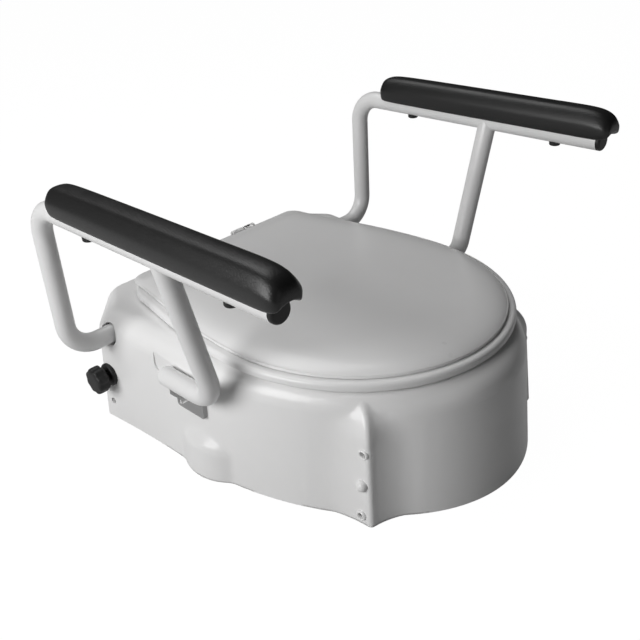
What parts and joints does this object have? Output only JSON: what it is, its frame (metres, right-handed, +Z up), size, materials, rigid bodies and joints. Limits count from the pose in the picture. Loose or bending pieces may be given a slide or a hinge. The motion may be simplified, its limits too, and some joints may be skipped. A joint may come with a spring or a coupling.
{
  "type": "raised toilet seat",
  "caption": "Moulded raised toilet seat with hinged seat and lid, padded armrests that fold up and back, and adjustable feet for the bowl's rim.",
  "frame": {"origin": "under the middle of the housing, at its lower edge", "axes": "+X to the sitter's left, -Y to the front, +Z up"},
  "size_m": [0.537, 0.484, 0.333],
  "materials": {
    "body_plastic": "glossy",
    "lid_plastic": "satin",
    "coated_tube": "glossy",
    "pad_foam": "satin",
    "soft_black": "satin",
    "steel": "brushed"
  },
  "bodies": {
    "base": {"base_shell": "body_plastic", "hinge_block_left": "body_plastic", "hinge_block_right": "body_plastic", "hinge_pin_left": "steel", "hinge_pin_right": "steel", "hinge_screws_left": "steel", "hinge_screws_right": "steel", "hinge_nuts_left": "steel", "hinge_nuts_right": "steel", "pivot_bush_left": "soft_black", "pivot_bush_right": "soft_black", "clamp_collar_left": "soft_black", "clamp_collar_right": "soft_black", "clamp_nut_left": "steel", "clamp_nut_right": "steel", "rear_bracket_left": "steel", "rear_bracket_right": "steel", "rear_foot_pad_left": "soft_black", "rear_foot_pad_right": "soft_black", "front_bracket_left": "steel", "front_bracket_right": "steel", "front_foot_pad_left": "soft_black", "front_foot_pad_right": "soft_black", "front_bolt_left": "steel", "front_bolt_right": "steel", "wing_nut_left": "steel", "wing_nut_right": "steel"},
    "seat": {"seat_ring": "body_plastic", "seat_buffers": "soft_black"},
    "lid": {"lid": "lid_plastic", "lid_buffers": "soft_black"},
    "armrest_left": {"armrest_frame_left": "coated_tube", "armrest_leg_left": "coated_tube", "foot_plug_left": "coated_tube", "rail_end_cap_left": "soft_black", "armrest_pad_left": "pad_foam", "pad_screws_left": "soft_black", "pivot_clip_left": "steel"},
    "clamp_left": {"clamp_knob_left": "soft_black", "clamp_stud_left": "steel"},
    "armrest_right": {"armrest_frame_right": "coated_tube", "armrest_leg_right": "coated_tube", "foot_plug_right": "coated_tube", "rail_end_cap_right": "soft_black", "armrest_pad_right": "pad_foam", "pad_screws_right": "soft_black", "pivot_clip_right": "steel"},
    "clamp_right": {"clamp_knob_right": "soft_black", "clamp_stud_right": "steel"}
  },
  "joints": [
    {"name": "seat_hinge", "type": "hinge", "parent": "base", "child": "seat", "pos_m": [0, 0.223, 0.1525], "axis": [-1, 0, 0], "range_deg": [0, 92]},
    {"name": "lid_hinge", "type": "hinge", "parent": "seat", "child": "lid", "pos_m": [0, 0.223, 0.1525], "axis": [-1, 0, 0], "range_deg": [0, 98]},
    {"name": "armrest_left_hinge", "type": "hinge", "parent": "base", "child": "armrest_left", "pos_m": [0.2, 0.18, 0.119], "axis": [-1, 0, 0], "range_deg": [0, 95]},
    {"name": "clamp_left_turn", "type": "hinge", "parent": "base", "child": "clamp_left", "pos_m": [0.212, 0.189, 0.062], "axis": [1, 0, 0], "range_deg": [0, 360]},
    {"name": "armrest_right_hinge", "type": "hinge", "parent": "base", "child": "armrest_right", "pos_m": [-0.2, 0.18, 0.119], "axis": [-1, 0, 0], "range_deg": [0, 95]},
    {"name": "clamp_right_turn", "type": "hinge", "parent": "base", "child": "clamp_right", "pos_m": [-0.212, 0.189, 0.062], "axis": [-1, 0, 0], "range_deg": [0, 360]}
  ]
}
